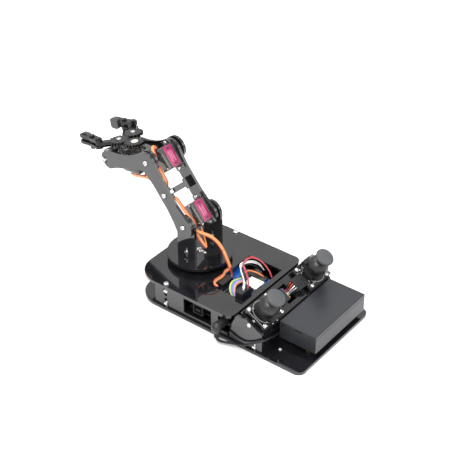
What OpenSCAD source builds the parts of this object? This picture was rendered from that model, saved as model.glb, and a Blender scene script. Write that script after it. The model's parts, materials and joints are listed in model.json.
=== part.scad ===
// Desktop robot arm kit: acrylic base box with control board, joystick console and battery box,
// a turntable, a two-joint arm and a geared gripper. Millimetres, +Z up, +X is the reach of the arm.
// The origin is on the turntable axis at the underside of the base plate.

/* [Display] */
// Which sub-part to draw

/* [Sheets] */
// Thickness of the acrylic sheets
sheet = 3; // [2:0.5:5]
// Width of the base plate
base_w = 115; // [100:1:140]
// Distance from the turntable axis to the front edge of the base plate
base_front = 36; // [34:1:50]
// Distance from the turntable axis to the back edge of the base plate
base_back = 161; // [150:1:190]
// Distance from the turntable axis to the back edge of the deck
deck_back = 82; // [80:1:90]
// Height of the deck's top face
deck_top = 29; // [28:1:36]
// Radius of the front corners of base plate and deck
corner_front = 25; // [5:1:30]
// Radius of the back corners of base plate and deck
corner_back = 8; // [3:1:20]

/* [Turntable] */
// Turn of the turntable
turn_angle = -4.5; // [-90:0.5:90]
// Radius of the turntable disc
disc_r = 32; // [28:0.5:34]
// Height of the disc's top face
disc_top = 37; // [36:0.5:45]

/* [Arm] */
// Distance of the shoulder axis in front of the turntable axis
shoulder_x = 3.5; // [0:0.5:10]
// Height of the shoulder axis
shoulder_z = 71; // [65:0.5:90]
// Length of the upper arm between its axes
arm_len = 71; // [60:0.5:110]
// Angle of the upper arm above the level
arm_angle = 47.9; // [20:0.1:110]
// Angle of the forearm below the level
fore_pitch = 10; // [-30:0.5:40]

/* [Gripper] */
// Angle of the gear arms away from the straight-ahead direction
open_angle = 46; // [0:0.5:52]
// Length of the gear arms
link_len = 20; // [16:0.5:26]
// Number of teeth on each gear
teeth = 18; // [16:2:22]

/* [Console] */
// Tilt of the joystick console
console_tilt = 30; // [10:1:45]
// Position of the front joystick along the console
stick_front_y = 36.5; // [34:0.5:38]
// Position of the rear joystick along the console
stick_rear_y = -41.5; // [-42:0.5:-34]

/* [Battery box] */
// Length of the battery box
batt_len = 81; // [76:1:90]
// Width of the battery box
batt_w = 40; // [38:1:46]
// Height of the battery box
batt_h = 19; // [19:0.5:24]

/* [Hidden] */

$fn = 64;
deck_under = deck_top - sheet;
side_out = 55.5;
side_in = side_out - sheet;
side_x0 = -77;
side_x1 = 10.5;
tie_x = -2.5;
tab_x = -46;
tab_len = 12;
end_x = 29.5;
end_half = 30;
open_x0 = -76.5;
open_x1 = -37;
open_y0 = -31;
open_y1 = 30;
slot_fit = 0.1;
m3 = 1.5;
m3_hole = 1.6;
run_hole = 1.56;
head_r = 2.6;
head_h = 2;
nut_r = 3.1;
nut_h = 2.4;
disc_under = disc_top - sheet;
shelf_top = 21.4;

// control board
board_x0 = -79.1;
board_x1 = -25.8;
board_y0 = -20.6;
board_y1 = 48;
board_z = 9.5;
board_t = 1.6;
usb_x = -41;
jack_x = -71.5;
jack_z = 17.6;
shield_z = 20.8;

// console
con_x = -102.8;
con_z = 31;
con_half_x = 13.7;
con_half_y = 52.4;
pcb_z = 3;
gimbal_z = 13.6;
brk_nut_x = -108;

// battery box
batt_x0 = -159.3;
batt_y0 = -49;
batt_z0 = 9;
wall = 1.6;
lid_t = 3;
cell_r = 7.1;
cell_len = 66;
cell_dx = cell_r + 0.15;
case_feet = [[-147, 24], [-124, 22], [-147, -12.5], [-124, -12.5]];

// turntable and arm
arm_out = 18.8;
arm_in = arm_out - sheet;
brf_out = 15.5;
brf_in = brf_out - sheet;
brb_in = 21.3;
brb_out = brb_in + sheet;
elbow_x = shoulder_x + arm_len * cos(arm_angle);
elbow_z = shoulder_z + arm_len * sin(arm_angle);
brace_half = 2.8;
brace_tab = 4.2;
servo_w = 12.2;
servo_l = 22.8;
servo_end = 5.9;
ear_pitch = 13.9;
ear_mid = 5.5;
boss_r = 5.9;
boss_hole = 5.96;
spline_r = 2.4;

// gripper: centre of the gear line on the top face of the claw base
claw_x = 52.5;
claw_y = -5.85;
claw_z = -3.1;
gear_c = 9.5;
drive_dv = 3.8;
drive_du = sqrt(4 * gear_c * gear_c - drive_dv * drive_dv);
layer0 = 1.9;
layer1 = 5;
layer2 = 8.1;
layer3 = 11.2;
idler_u = 11.5;
idler_v = -2;
pad_mid = (layer1 + layer3 + sheet) / 2;
pin_r = 1;
horn_r = 3.5;

module at_turn() { rotate([0, 0, turn_angle]) children(); }
module at_arm() { at_turn() translate([shoulder_x, 0, shoulder_z]) rotate([0, -arm_angle, 0]) children(); }
module at_fore() { at_turn() translate([elbow_x, 0, elbow_z]) rotate([0, fore_pitch, 0]) children(); }
module at_claw() { at_fore() translate([claw_x, claw_y, claw_z]) children(); }
module at_console() { translate([con_x, 0, con_z]) rotate([0, -console_tilt, 0]) children(); }

// a sheet standing in the X-Z plane, from y0 to y0 + t
module stand(y0, t = sheet) { translate([0, y0 + t, 0]) rotate([90, 0, 0]) linear_extrude(t) children(); }
// a round bar along Y, from y0 to y1
module bar_y(x, z, y0, y1, r) { translate([x, y1, z]) rotate([90, 0, 0]) cylinder(r = r, h = y1 - y0); }

module outline(x0, x1, w, rb, rf) {
  translate([x0 + rb, -w / 2]) square([x1 - x0 - rb - rf, w]);
  translate([x0, -w / 2 + rb]) square([rb, w - 2 * rb]);
  translate([x1 - rf, -w / 2 + rf]) square([rf, w - 2 * rf]);
  for (s = [-1, 1]) {
    translate([x0 + rb, s * (w / 2 - rb)]) circle(rb);
    translate([x1 - rf, s * (w / 2 - rf)]) circle(rf);
  }
}

// slot with a nut pocket, opening at the origin and running down -y
module tee_slot() {
  translate([-1.6, -10]) square([3.2, 10.1]);
  translate([-3.2, -5.3]) square([6.4, 2.7]);
}

// hexagon nut on the Z axis, its middle at z = 0
module nut() {
  translate([0, 0, -nut_h / 2]) difference() {
    cylinder(r = nut_r, h = nut_h, $fn = 6);
    translate([0, 0, -1]) cylinder(r = m3 + 0.05, h = nut_h + 2);
  }
}

// round-headed screw, underside of the head at the origin, shank down -z
module screw(len, r = m3, hr = head_r, hh = head_h) {
  difference() {
    rotate_extrude()
      polygon([[0, 0], [hr, 0], [hr, hh * 0.45], [hr * 0.85, hh * 0.8], [hr * 0.55, hh], [0, hh]]);
    translate([0, 0, hh - 1]) cylinder(r = hr * 0.42, h = 2, $fn = 6);
  }
  translate([0, 0, -len]) cylinder(r = r, h = len + 0.01);
}

// nine-gram servo: shaft on +Z, the upper face of its ears at z = 0, its body towards +X
module micro_servo() {
  difference() {
    union() {
      translate([-servo_end, -servo_w / 2, -18.4]) cube([servo_l, servo_w, 22.5]);
      translate([-servo_end - 4.7, -servo_w / 2, -2.5]) cube([servo_l + 9.4, servo_w, 2.5]);
      translate([0, 0, 4]) cylinder(r = boss_r, h = 4.1);
      translate([6.2, 0, 4]) cylinder(r = 2.9, h = 1.2);
      translate([-servo_end - 1.2, -2, -16.6]) cube([2, 4, 2.6]);
    }
    for (s = [-1, 1]) translate([ear_mid + s * ear_pitch, 0, -4]) cylinder(r = 1.1, h = 6);
  }
  translate([0, 0, 8]) cylinder(r = spline_r, h = 3);
}

module servo_hole() translate([-servo_end - 0.2, -servo_w / 2 - 0.2])
  square([servo_l + 0.4, servo_w + 0.4]);

module ear_holes() { for (s = [-1, 1]) translate([ear_mid + s * ear_pitch, 0]) circle(1.05); }

// ---------------------------------------------------------------- base box
module base_plate() color([0.05, 0.05, 0.06]) linear_extrude(sheet) difference() {
  outline(-base_back, base_front, base_w, corner_back, corner_front);
  for (s = [-1, 1]) {
    translate([tie_x, s * (side_in + sheet / 2)]) circle(m3_hole);
    translate([tab_x - tab_len / 2 - slot_fit, s * (side_in + sheet / 2) - sheet / 2 - slot_fit])
      square([tab_len + 2 * slot_fit, sheet + 2 * slot_fit]);
    translate([brk_nut_x, s * (side_in + sheet / 2)]) circle(m3_hole);
    translate([end_x - slot_fit, s * 18 - 5 - slot_fit]) square([sheet + 2 * slot_fit, 10 + 2 * slot_fit]);
  }
  translate([-64, -33]) square([26, 15]);
  for (p = case_feet) translate(p) circle(m3_hole);
  for (p = [[-76.6, 33], [-28.5, 34.5], [-61, -15.5], [-33.5, -15.5]]) translate(p) circle(m3_hole);
  for (p = [[-126, 40], [-122.5, -42], [20, 42], [20, -42]]) translate(p) circle(m3_hole);
}

module side_shape() {
  difference() {
    union() {
      translate([side_x0, sheet]) square([side_x1 - side_x0, deck_under - sheet]);
      translate([tab_x - tab_len / 2, 0]) square([tab_len, deck_top]);
    }
    translate([tie_x, deck_under]) tee_slot();
    translate([tie_x, sheet]) mirror([0, 1]) tee_slot();
    children();
  }
}

module side_plate_front() color([0.06, 0.06, 0.07]) stand(side_in) side_shape() {
  translate([-57.6, 6.8]) square([33, 16.6]);
  translate([-77.2, 7.5]) square([11.4, 15.5]);
}

module side_plate_back() color([0.06, 0.06, 0.07]) stand(-side_out)
  side_shape() translate([-37, 9]) square([10, 8]);

module end_plate() color([0.06, 0.06, 0.07]) translate([end_x, 0, 0]) {
  translate([0, -end_half, sheet]) cube([sheet, 2 * end_half, deck_under - sheet]);
  for (s = [-1, 1]) translate([0, s * 18 - 5, 0]) cube([sheet, 10, deck_top]);
}

module deck_plate() color([0.05, 0.05, 0.06])
translate([0, 0, deck_under]) linear_extrude(sheet) difference() {
  outline(-deck_back, base_front - 0.5, base_w, corner_back, corner_front);
  translate([open_x0, open_y0]) square([open_x1 - open_x0, open_y1 - open_y0]);
  for (s = [-1, 1]) {
    translate([tie_x, s * (side_in + sheet / 2)]) circle(m3_hole);
    translate([tab_x - tab_len / 2 - slot_fit, s * (side_in + sheet / 2) - sheet / 2 - slot_fit])
      square([tab_len + 2 * slot_fit, sheet + 2 * slot_fit]);
    translate([end_x - slot_fit, s * 18 - 5 - slot_fit]) square([sheet + 2 * slot_fit, 10 + 2 * slot_fit]);
  }
  servo_hole();
}

module servo_shelf() color([0.06, 0.06, 0.07]) {
  translate([0, 0, shelf_top - sheet]) linear_extrude(sheet) difference() {
    translate([-14, -13]) square([39, 26]);
    servo_hole();
    ear_holes();
    for (x = [-11.4, 22.4], s = [-1, 1]) translate([x, s * 9.8]) circle(m3_hole);
  }
}

// ---------------------------------------------------------------- console
module bracket_side() polygon([[-116.5, sheet], [-79.5, sheet], [-79.5, 17], [-87, 33], [-98.5, 34.4],
  [-116.5, 24.1]]);

module console_bracket(s) {
  stand(s > 0 ? side_in : -side_out) difference() {
    bracket_side();
    translate([brk_nut_x, sheet]) mirror([0, 1]) tee_slot();
    translate([con_x, con_z]) rotate(console_tilt) translate([0, -sheet / 2]) circle(m3_hole);
  }
}
module console_bracket_front() color([0.07, 0.07, 0.08]) console_bracket(1);
module console_bracket_back() color([0.07, 0.07, 0.08]) console_bracket(-1);

// the two rows of screws of a joystick board, in its own frame
function stick_screws(y) = [for (u = [-10.3, 10.3], v = [-14.5, y > 0 ? 11.5 : 9]) [u, v]];

module console_plate() color([0.05, 0.05, 0.06]) at_console() translate([0, 0, -sheet]) linear_extrude(sheet)
difference() {
  translate([-con_half_x, -con_half_y]) square([2 * con_half_x, 2 * con_half_y]);
  for (y = [stick_front_y, stick_rear_y]) translate([0, y]) rotate(y > 0 ? 0 : 180)
    for (p = stick_screws(y)) translate(p) circle(m3_hole);
  translate([-9, -8]) square([18, 13]);
  translate([0, con_half_y]) tee_slot();
  translate([0, -con_half_y]) mirror([0, 1]) tee_slot();
}

module console_ribs() color([0.06, 0.06, 0.07]) {
  translate([-92, -side_in, sheet]) cube([sheet, 2 * side_in, 16]);
  translate([-115.5, -side_in, sheet]) cube([sheet, 2 * side_in, 17.5]);
}

// ---------------------------------------------------------------- electronics
board_feet = [[-76.6, 33], [-28.5, 34.5], [-61, -15.5], [-33.5, -15.5]];

module control_board() color([0.04, 0.22, 0.42])
translate([0, 0, board_z]) linear_extrude(board_t) difference() {
  translate([board_x0, board_y0]) square([board_x1 - board_x0, board_y1 - board_y0]);
  translate([board_x1 - 4, board_y0 - 1]) square([5, 6]);
  for (p = board_feet) translate(p) circle(m3_hole);
}

module usb_socket() color([0.7, 0.71, 0.73]) difference() {
  translate([usb_x - 6, board_y1 - 9.7, board_z + board_t]) cube([12, 16, 11]);
  translate([usb_x - 4.3, board_y1 + 0.5, board_z + board_t + 1.4]) difference() {
    cube([8.6, 8, 8.2]);
    translate([1.5, -1, 2.3]) cube([5.6, 8, 3]);
  }
}

module pin_strip(x, y0, y1, z, h) translate([x - 1.27, y0, z]) cube([2.54, y1 - y0, h]);

module board_plastics() color([0.05, 0.05, 0.055]) {
  top = board_z + board_t;
  difference() {
    translate([jack_x - 4.5, board_y1 - 12.5, top]) cube([9, 14.3, 11]);
    bar_y(jack_x, jack_z, board_y1 - 10, board_y1 + 3, 3.2);
  }
  bar_y(jack_x, jack_z, board_y1 - 10.5, board_y1 - 2, 1);
  pin_strip(board_x0 + 2.6, -18, 28, top, 8.5);
  pin_strip(board_x1 - 2.6, -14, 32, top, 8.5);
  translate([-48.5, -12, top]) cube([8, 35.5, 3.6]);
  // the shield's own pin field and the plug housings standing on it
  pin_strip(-72.4, -4, 29.6, shield_z + board_t, 2.5);
  pin_strip(-67.4, -4, 29.6, shield_z + board_t, 2.5);
  pin_strip(-34.4, -12, 26, shield_z + board_t, 2.5);
  for (y = [14, 21.8]) translate([-73.6, y, shield_z + board_t + 1.2]) cube([7.8, 7.4, 11.4]);
  for (i = [0:4]) translate([-46.5, 7.6 + 3.2 * i, shield_z + board_t]) cube([7.8, 3, 7.6]);
}

module shield_board() color([0.03, 0.25, 0.62])
translate([0, 0, shield_z]) linear_extrude(board_t) difference() {
  translate([board_x0, board_y0 + 2]) square([board_x1 - board_x0, 53.5]);
  translate([board_x0 - 1, board_y0 + 1]) square([5, 5]);
}

module brass_standoffs() color([0.78, 0.6, 0.25]) {
  for (p = case_feet) translate([p[0], p[1], sheet]) cylinder(r = 2.9, h = batt_z0 - sheet, $fn = 6);
  for (p = board_feet) translate([p[0], p[1], sheet]) difference() {
    cylinder(r = 2.6, h = board_z - sheet, $fn = 6);
    translate([0, 0, -1]) cylinder(r = m3 + 0.05, h = 9);
  }
  for (x = [-11.4, 22.4], s = [-1, 1])
    translate([x, s * 9.8, sheet]) cylinder(r = 2.6, h = shelf_top - 2 * sheet, $fn = 6);
}

module base_servo() color([0.2, 0.22, 0.25]) translate([0, 0, shelf_top + 2.5]) micro_servo();

// ---------------------------------------------------------------- battery box
module battery_case() color([0.06, 0.06, 0.06]) translate([batt_x0, batt_y0, batt_z0]) difference() {
  cube([batt_w, batt_len, batt_h - lid_t - 0.2]);
  translate([wall, wall, wall]) cube([batt_w - 2 * wall, batt_len - 2 * wall, batt_h]);
  for (p = case_feet) translate([p[0] - batt_x0, p[1] - batt_y0, -1]) cylinder(r = m3_hole, h = 4);
  translate([batt_w - 3, 71, 3]) rotate([0, 90, 0]) cylinder(r = 1.7, h = 4);
  for (x = [wall, batt_w - wall - 1.6])
    translate([x, batt_len - wall - 1, batt_h - lid_t - 1.9]) cube([1.6, 4, 4]);
}

module battery_lid() color([0.06, 0.06, 0.06]) translate([batt_x0, batt_y0, batt_z0 + batt_h - lid_t]) {
  difference() {
    cube([batt_w, batt_len, lid_t]);
    translate([wall, wall, -1]) cube([batt_w - 2 * wall, batt_len - 2 * wall, lid_t - wall + 1]);
    translate([batt_w / 2 - 5, batt_len - 0.6, -0.1]) cube([10, 2, 1.5]);
  }
  for (x = [wall + 0.2, batt_w - wall - 1.4]) translate([x, 6, -1.6]) cube([1.2, batt_len - 12, lid_t]);
}

module battery_cells() color([0.25, 0.45, 0.6]) for (i = [0, 1]) {
  x = batt_x0 + batt_w / 2 + (i == 0 ? -1 : 1) * cell_dx;
  y0 = batt_y0 + (batt_len - cell_len) / 2;
  translate([x, y0 + (i == 0 ? 0 : cell_len), batt_z0 + wall + 0.1 + cell_r])
  rotate([i == 0 ? -90 : 90, 0, 0]) {
    cylinder(r = cell_r, h = cell_len - 1.5);
    cylinder(r = 2.8, h = cell_len);
  }
}

module battery_contacts() color([0.8, 0.8, 0.8]) {
  for (i = [0, 1], e = [0, 1]) {
    x = batt_x0 + batt_w / 2 + (i == 0 ? -1 : 1) * cell_dx;
    y = e == 0 ? batt_y0 + wall + 0.1 : batt_y0 + batt_len - wall - 0.6;
    translate([x - 5, y, batt_z0 + wall + 1]) cube([10, 0.5, 11]);
    sp = (i == 0) == (e == 0);
    if (sp) for (k = [0:4])
      translate([x, y + (e == 0 ? 0.9 + 0.95 * k : -0.4 - 0.95 * k), batt_z0 + wall + 7.2])
        rotate([90, 0, 0]) rotate_extrude() translate([4.6 - 0.45 * k, 0]) circle(0.35, $fn = 16);
  }
}

// ---------------------------------------------------------------- screws and nuts of the base
module frame_fasteners() color([0.75, 0.76, 0.78]) {
  for (s = [-1, 1]) {
    y = s * (side_in + sheet / 2);
    translate([tie_x, y, deck_top]) screw(10);
    translate([tie_x, y, deck_under - 4]) nut();
    translate([tie_x, y, 0.2]) cylinder(r = m3, h = 9.5);
    translate([tie_x, y, sheet + 4]) nut();
    translate([brk_nut_x, y, 0.2]) cylinder(r = m3, h = 9.8);
    translate([brk_nut_x, y, sheet + 4]) nut();
    at_console() translate([0, s * side_out, -sheet / 2]) rotate([s > 0 ? -90 : 90, 0, 0])
      screw(10, m3, 2.2, 1.6);
    at_console() translate([0, s * (con_half_y - 4), -sheet / 2]) rotate([90, 0, 0]) nut();
  }
  for (p = board_feet) translate([p[0], p[1], board_z + board_t]) screw(8.6, m3, 2.3);
  for (p = [[-126, 40], [-122.5, -42], [20, 42], [20, -42]])
    translate([p[0], p[1], sheet]) screw(2.8, m3, 1.9, 1.4);
  for (s = [-1, 1]) translate([ear_mid + s * ear_pitch, 0, shelf_top + 2.5]) screw(6, 0.95, 1.9, 1.2);
  for (y = [stick_front_y, stick_rear_y]) stick_frame(y)
    for (p = stick_screws(y)) translate([p[0], p[1], pcb_z + board_t]) screw(7.5, m3, 2.1, 1.6);
}

// ---------------------------------------------------------------- joysticks
module stick_frame(y) at_console() translate([0, y, 0]) rotate([0, 0, y > 0 ? 0 : 180]) children();

module joystick_boards() color([0.05, 0.05, 0.05]) for (y = [stick_front_y, stick_rear_y]) stick_frame(y)
  translate([0, 0, pcb_z]) linear_extrude(board_t) difference() {
    translate([-13, -19]) square([26, 34]);
    for (p = stick_screws(y)) translate(p) circle(m3_hole);
  }

module joystick_housing() {
  z0 = pcb_z + board_t;
  difference() {
    union() {
      translate([-8, -8, z0]) cube([16, 16, 3.4]);
      translate([0, 0, z0 + 3.3]) cylinder(r = 8.2, h = gimbal_z + 0.5 - z0 - 3.3);
      translate([-13, -5.5, z0]) cube([4.9, 11, 5]);
      translate([-5.5, -13, z0]) cube([11, 4.9, 5]);
      translate([-6.5, -18.6, z0]) cube([13, 2.6, 2.6]);
      translate([-6.6, -31.6, z0 + 0.1]) cube([13.2, 14, 2.6]);
    }
    translate([0, 0, z0 + 1.2]) cylinder(r = 7, h = 12);
  }
}
module joystick_housings() color([0.08, 0.08, 0.085]) for (y = [stick_front_y, stick_rear_y]) stick_frame(y)
  joystick_housing();

module joystick_yoke() translate([0, 0, gimbal_z]) difference() {
  union() {
    translate([-5.7, -3.6, -1.3]) cube([11.4, 7.2, 2.6]);
    translate([-6.6, 0, 0]) rotate([0, 90, 0]) cylinder(r = 1.1, h = 13.2);
  }
  translate([0, 0, -2]) cylinder(r = 2.6, h = 4);
  translate([0, 5, 0]) rotate([90, 0, 0]) cylinder(r = 0.75, h = 10);
}
module joystick_shaft() {
  translate([0, 0, gimbal_z - 4]) cylinder(r = 2, h = 11.6);
  bar_y(0, gimbal_z, -3.5, 3.5, 0.7);
}
module joystick_cap() {
  gz = gimbal_z;
  difference() {
    translate([0, 0, gz]) rotate_extrude() difference() {
      union() {
        intersection() {
          circle(11, $fn = 96);
          translate([0, 2.6]) square([12, 12]);
        }
        translate([0, 9]) square([4.6, 6]);
        polygon([[0, 13.6], [5.2, 13.6], [8.5, 14.5], [9.2, 15.7], [9.2, 16.5],
          [8.4, 17.6], [5, 18.3], [0, 18.5]]);
      }
      circle(9.5, $fn = 96);
      translate([0, 8]) square([2.03, 1]);
    }
    translate([0, 0, gz + 8]) cylinder(r = 2.05, h = 2.2);
  }
}
module joystick_yoke_front() color([0.3, 0.3, 0.32]) stick_frame(stick_front_y) joystick_yoke();
module joystick_yoke_rear() color([0.3, 0.3, 0.32]) stick_frame(stick_rear_y) joystick_yoke();
module joystick_shaft_front() color([0.3, 0.3, 0.32]) stick_frame(stick_front_y) joystick_shaft();
module joystick_shaft_rear() color([0.3, 0.3, 0.32]) stick_frame(stick_rear_y) joystick_shaft();
module joystick_cap_front() color([0.3, 0.3, 0.31]) stick_frame(stick_front_y) joystick_cap();
module joystick_cap_rear() color([0.3, 0.3, 0.31]) stick_frame(stick_rear_y) joystick_cap();

// ---------------------------------------------------------------- power plug and cord
plug_y = 68;
module power_plug() color([0.06, 0.06, 0.06]) {
  difference() {
    bar_y(jack_x, jack_z, 40, 51, 2.75);
    bar_y(jack_x, jack_z, 39, 50.5, 1.1);
  }
  bar_y(jack_x, jack_z, 50.5, 64, 4.6);
  translate([jack_x, plug_y - 3.4, jack_z]) sphere(r = 5.2);
  translate([jack_x, plug_y - 3.4, jack_z]) rotate([180, 0, 0]) {
    cylinder(r1 = 4.6, r2 = 3.4, h = 5.6);
    for (i = [0:3]) translate([0, 0, 6.2 + 1.4 * i]) cylinder(r = 2.9 - 0.15 * i, h = 0.8);
    cylinder(r = 2, h = jack_z - cord_pts[0][2]);
  }
}

// centre line of the power cord, from the plug's sleeve to the battery box
cord_pts = [[-71.5, 64.6, 6.4], [-71.9, 64.6, 4.4], [-74.2, 64.5, 3.3], [-78.4, 63.4, 3.2],
  [-84, 61.7, 3.6], [-89.6, 60.3, 4.3], [-95.2, 59.3, 5.6], [-100.8, 58.9, 8.2],
  [-106.4, 58.8, 11.8], [-112, 58.6, 16.1], [-117.4, 58.2, 20.2], [-119.9, 53.6, 20.5],
  [-119.9, 48, 18.8], [-119.3, 42, 16], [-118.3, 36, 13.6], [-117.65, 31, 12.3],
  [-117.65, 26.4, 11.9], [-118.3, 22.9, 12], [-120.4, 22, 12]];
cord_r = 1.6;
cord_sides = 8;
function unit3(v) = v / norm(v);
function cord_t(i) = unit3(cord_pts[min(i + 1, len(cord_pts) - 1)] - cord_pts[max(i - 1, 0)]);
function cord_a(i) = unit3(cross(cord_t(i), [0, 0.1, 1]));
function cord_b(i) = cross(cord_t(i), cord_a(i));
function cord_ring(i) = [for (k = [0:cord_sides - 1]) cord_pts[i]
  + cord_r * cos(360 * k / cord_sides) * cord_a(i) + cord_r * sin(360 * k / cord_sides) * cord_b(i)];
module power_cord() color([0.05, 0.05, 0.05]) {
  n = len(cord_pts);
  pts = [for (i = [0:n - 1], p = cord_ring(i)) p];
  m = cord_sides;
  sides = [for (i = [0:n - 2], k = [0:m - 1])
    [i * m + k, i * m + (k + 1) % m, (i + 1) * m + (k + 1) % m, (i + 1) * m + k]];
  first = [for (k = [0:m - 1]) m - 1 - k];
  last = [for (k = [0:m - 1]) (n - 1) * m + k];
  polyhedron(points = pts, faces = concat(sides, [first], [last]));
}

// ---------------------------------------------------------------- turntable
module bracket_shape(hole_r) {
  difference() {
    union() {
      translate([shoulder_x, shoulder_z]) circle(11.4);
      translate([shoulder_x - 11.4, disc_top]) square([22.8, shoulder_z - disc_top]);
      for (x = [-6, 8.4]) translate([x, disc_under]) square([4.6, sheet + 1]);
    }
    translate([shoulder_x, shoulder_z]) circle(hole_r);
    translate([shoulder_x, disc_top]) mirror([0, 1]) tee_slot();
  }
}

module turntable_disc() color([0.05, 0.05, 0.06])
at_turn() translate([0, 0, disc_under]) linear_extrude(sheet) difference() {
  circle(disc_r, $fn = 128);
  circle(3.2);
  for (x = [-6.3, 6.3]) translate([x, 0]) circle(1.05);
  for (y = [brf_in, -brb_out]) {
    translate([shoulder_x, y + sheet / 2]) circle(m3_hole);
    for (x = [-6, 8.4]) translate([x - slot_fit, y - slot_fit])
      square([4.6 + 2 * slot_fit, sheet + 2 * slot_fit]);
  }
}

module bracket_front() color([0.06, 0.06, 0.07]) at_turn() stand(brf_in) bracket_shape(run_hole);
module bracket_back() color([0.06, 0.06, 0.07]) at_turn() stand(-brb_out) difference() {
  bracket_shape(boss_hole);
  for (s = [-1, 1]) translate([shoulder_x, shoulder_z + s * 8]) circle(0.95);
}

// round-ended two-arm horn, hub at the origin, plate from z = 0 to z = t
module horn(t = 1.8, reach = 8) difference() {
  union() {
    cylinder(r = 3.6, h = t + 1.6);
    translate([-reach, -2.4, 0]) cube([2 * reach, 4.8, t]);
    for (s = [-1, 1]) translate([s * reach, 0, 0]) cylinder(r = 2.4, h = t);
  }
  translate([0, 0, -1]) cylinder(r = spline_r + 0.05, h = t + 1.9);
  for (s = [-1, 1]) translate([s * reach, 0, -1]) cylinder(r = 0.9, h = t + 2);
}

module turntable_horns() color([0.9, 0.9, 0.88]) {
  at_turn() difference() {
    translate([0, 0, disc_under - 1.8]) union() {
      translate([-6.3, -2.4, 0]) cube([12.6, 4.8, 1.8]);
      for (s = [-1, 1]) translate([s * 6.3, 0, 0]) cylinder(r = 2.4, h = 1.8);
      cylinder(r = 3.6, h = 1.8);
    }
    translate([0, 0, disc_under - 3]) cylinder(r = spline_r + 0.05, h = 4);
    for (s = [-1, 1]) translate([s * 6.3, 0, disc_under - 3]) cylinder(r = 0.9, h = 4);
  }
  at_turn() translate([shoulder_x, -brb_out, shoulder_z]) rotate([90, 90, 0]) horn();
}

module turntable_fasteners() color([0.75, 0.76, 0.78]) at_turn() {
  for (y = [brf_in, -brb_out]) {
    translate([shoulder_x, y + sheet / 2, disc_under - 1.7]) cylinder(r = 2.6, h = 1.7);
    translate([shoulder_x, y + sheet / 2, disc_under - 0.1]) cylinder(r = m3, h = 11.5);
    translate([shoulder_x, y + sheet / 2, disc_top + 4]) nut();
  }
  for (x = [-6.3, 6.3]) translate([x, 0, disc_top]) screw(4.6, 0.9, 1.9, 1.2);
  translate([0, 0, disc_top]) screw(1.6, 1.1, 3.6, 1.4);
}

// ---------------------------------------------------------------- upper arm
module arm_shape() {
  circle(10.9);
  translate([arm_len, 0]) circle(10.9);
  polygon([[2, 10.7], [10, 8.9], [22, 7.4], [49, 7.4], [61, 8.9], [69, 10.7],
    [69, -10.7], [61, -8.9], [49, -7.4], [22, -7.4], [10, -8.9], [2, -10.7]]);
}

module brace_slots() for (s = [-1, 1]) translate([arm_len / 2 + s * brace_tab - 1.3, -sheet / 2 - slot_fit])
  square([2.6, sheet + 2 * slot_fit]);

module arm_plate_front() color([0.06, 0.06, 0.07]) at_arm() stand(arm_in) difference() {
  arm_shape();
  for (x = [0, arm_len / 2, arm_len]) translate([x, 0]) circle(m3 + 0.03);
  brace_slots();
}

module arm_plate_back() color([0.06, 0.06, 0.07]) at_arm() stand(-arm_out) difference() {
  arm_shape();
  servo_hole();
  ear_holes();
  translate([arm_len, 0]) mirror([1, 0]) {
    servo_hole();
    ear_holes();
  }
  brace_slots();
}

module arm_brace() color([0.06, 0.06, 0.07]) at_arm() translate([arm_len / 2, 0, -sheet / 2])
linear_extrude(sheet) difference() {
  union() {
    translate([-brace_half, -arm_in]) square([2 * brace_half, 2 * arm_in]);
    for (s = [-1, 1]) {
      translate([-5.4, s * (arm_in - 3.2) - 3.2]) square([10.8, 6.4]);
      for (t = [-1, 1]) translate([t * brace_tab - 1.2, s * (arm_out - 2.2) - 2.2]) square([2.4, 4.4]);
    }
  }
  translate([0, arm_in]) tee_slot();
}

module shoulder_servo() color([0.3, 0.3, 0.33]) at_arm()
  translate([0, -arm_in, 0]) rotate([90, 0, 0]) micro_servo();
module elbow_servo() color([0.3, 0.3, 0.33]) at_arm()
  translate([arm_len, -arm_in, 0]) rotate([90, 0, 0]) mirror([1, 0, 0]) micro_servo();

module arm_fasteners() color([0.75, 0.76, 0.78]) at_arm() {
  for (x = [0, arm_len]) {
    translate([x, arm_out, 0]) rotate([-90, 0, 0]) screw(10.5);
    translate([x, brf_in - 0.3 - nut_h / 2, 0]) rotate([90, 0, 0]) nut();
  }
  translate([arm_len / 2, arm_out, 0]) rotate([-90, 0, 0]) screw(10);
  translate([arm_len / 2, arm_in - 4, 0]) rotate([90, 0, 0]) nut();
  for (x = [ear_mid, arm_len - ear_mid], s = [-1, 1])
    translate([x + s * ear_pitch, -arm_in + 2.5, 0]) rotate([-90, 0, 0]) screw(6.5, 0.95, 1.9, 1.2);
}

// ---------------------------------------------------------------- forearm
module fore_shape(hole_r) difference() {
  union() {
    circle(11.8);
    polygon([[5, 10.6], [10, 7.4], [16, 4.6], [21, 2.7], [30, 0.4], [40, -0.8], [50, -0.6], [58, 0],
      [62.5, -1.5], [66.6, -3.6], [68.6, -6.2], [69.2, -9.4], [69.2, -13.6], [67.4, -15.8],
      [65.4, -18.4], [62, -20.2], [59, -20.6], [55, -19.4], [49, -17.4], [40, -16.2], [29, -14.2],
      [22, -13], [12, -12.2], [2, -11.6], [-4, 0]]);
  }
  circle(hole_r);
  for (x = [[37.5, 8.5], [50, 8.5]]) translate([x[0] - slot_fit, claw_z - sheet - slot_fit])
    square([x[1] + 2 * slot_fit, sheet + 2 * slot_fit]);
  translate([62, -13.4]) square([8, 3.4]);
  translate([63.4, -14.9]) square([2.7, 6.4]);
}

module forearm_plate_front() color([0.06, 0.06, 0.07]) at_fore() stand(brf_in) fore_shape(run_hole);
module forearm_plate_back() color([0.06, 0.06, 0.07]) at_fore() stand(-brb_out) difference() {
  fore_shape(boss_hole);
  for (s = [-1, 1]) translate([s * 8, 0]) circle(0.95);
}

module elbow_horn() color([0.9, 0.9, 0.88]) at_fore() translate([0, -brb_out, 0]) rotate([90, 0, 0]) horn();

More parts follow.
